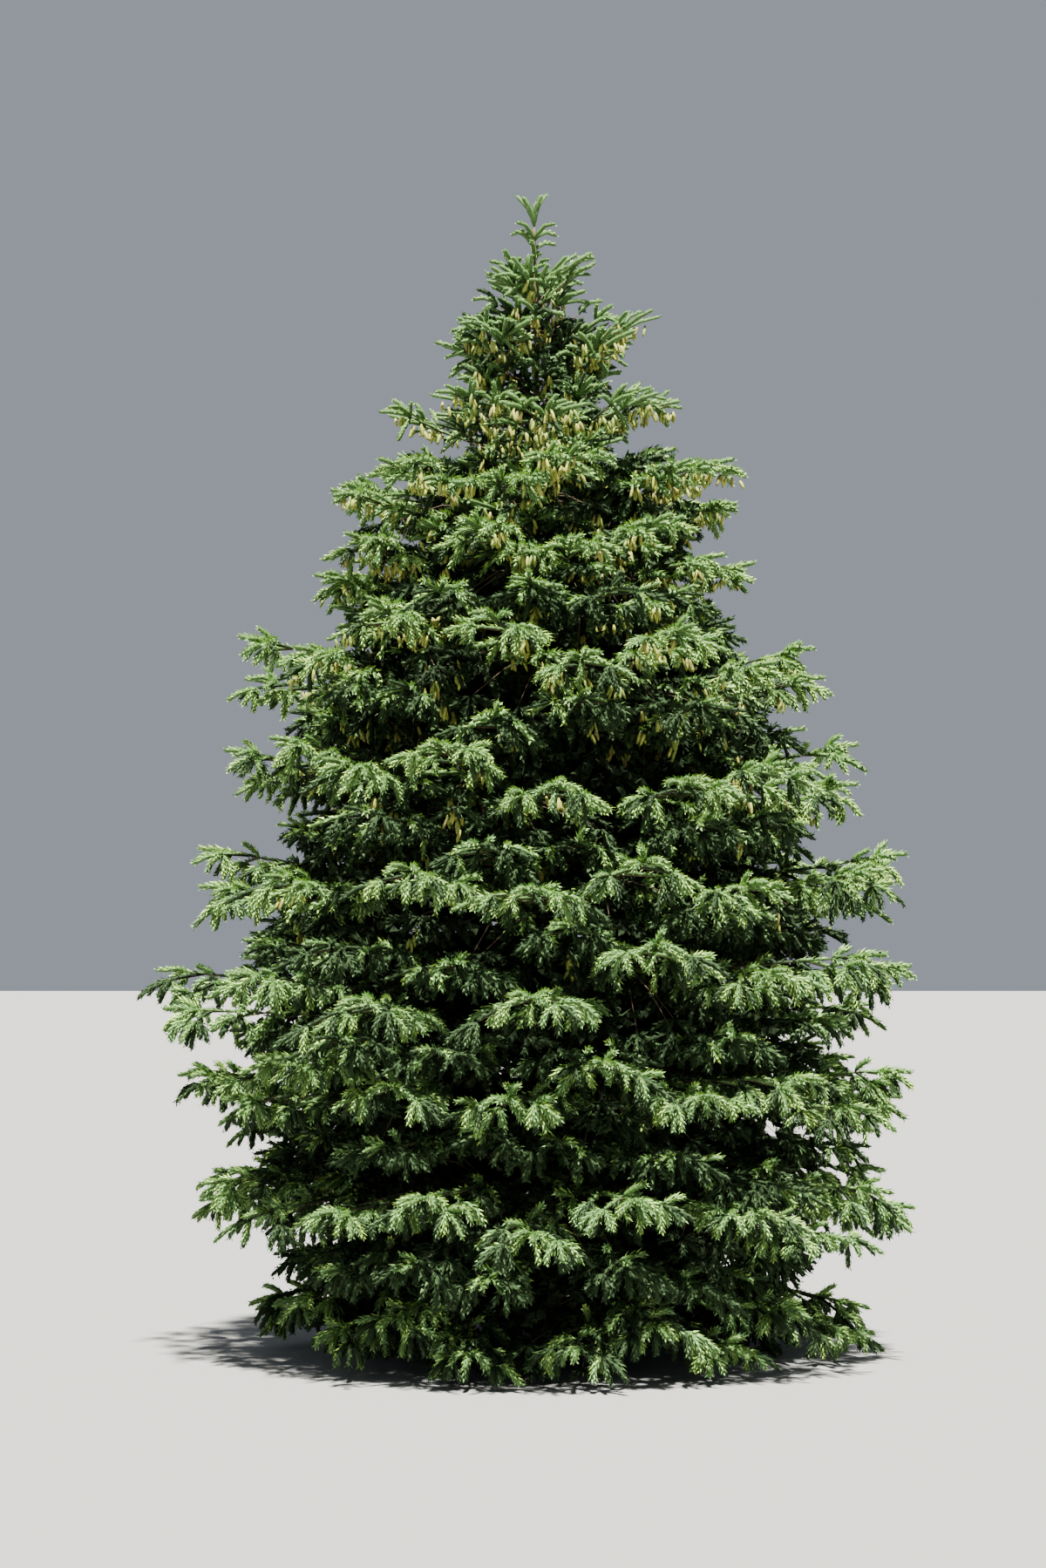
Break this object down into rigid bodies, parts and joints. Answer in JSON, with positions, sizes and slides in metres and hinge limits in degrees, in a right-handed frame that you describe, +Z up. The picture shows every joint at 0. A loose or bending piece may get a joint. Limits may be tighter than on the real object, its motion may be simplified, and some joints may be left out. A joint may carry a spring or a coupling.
{
  "type": "black hills spruce tree",
  "caption": "Whole young spruce with a dense pyramid crown: tapering trunk with a root flare, low boughs and tiers of needle sprays that hang with seed cones near the top.",
  "frame": {"origin": "on the ground, at the middle of the flat cut under the trunk", "axes": "+Z up the trunk, +X to the right and -Y towards the viewer, as seen from the picture's side"},
  "size_m": [3.1388, 3.0185, 4.803],
  "materials": {
    "trunk_bark": "rough scaly bark",
    "bough_bark": "dull ridged bark",
    "needles": "satin, waxy"
  },
  "bodies": {
    "root": {"bough_01_1": "bough_bark", "bough_01_2": "bough_bark", "bough_01_3": "bough_bark", "bough_01_4": "bough_bark", "bough_01_5": "bough_bark", "bough_02_1": "bough_bark", "bough_02_2": "bough_bark", "bough_02_3": "bough_bark", "bough_02_4": "bough_bark", "bough_02_5": "bough_bark", "bough_03_1": "bough_bark", "bough_03_2": "bough_bark", "bough_03_3": "bough_bark", "bough_03_4": "bough_bark", "bough_03_5": "bough_bark", "needles_01_1": "needles", "needles_01_2": "needles", "needles_01_3": "needles", "needles_01_4": "needles", "needles_01_5": "needles", "needles_02_1": "needles", "needles_02_2": "needles", "needles_02_3": "needles", "needles_02_4": "needles", "needles_02_5": "needles", "needles_03_1": "needles", "needles_03_2": "needles", "needles_03_3": "needles", "needles_03_4": "needles", "needles_03_5": "needles", "needles_04_1": "needles", "needles_04_2": "needles", "needles_04_3": "needles", "needles_04_4": "needles", "needles_05_1": "needles", "needles_05_2": "needles", "needles_05_3": "needles", "needles_05_4": "needles", "needles_06_1": "needles", "needles_06_2": "needles", "needles_06_3": "needles", "needles_06_4": "needles", "needles_07_1": "needles", "needles_07_2": "needles", "needles_07_3": "needles", "needles_07_4": "needles", "needles_08_1": "needles", "needles_08_2": "needles", "needles_08_3": "needles", "needles_09_1": "needles", "needles_09_2": "needles", "needles_09_3": "needles", "needles_10_1": "needles", "needles_10_2": "needles", "needles_11_1": "needles", "needles_11_2": "needles", "needles_12_1": "needles", "needles_12_2": "needles", "needles_top": "needles", "trunk": "trunk_bark"}
  },
  "joints": []
}
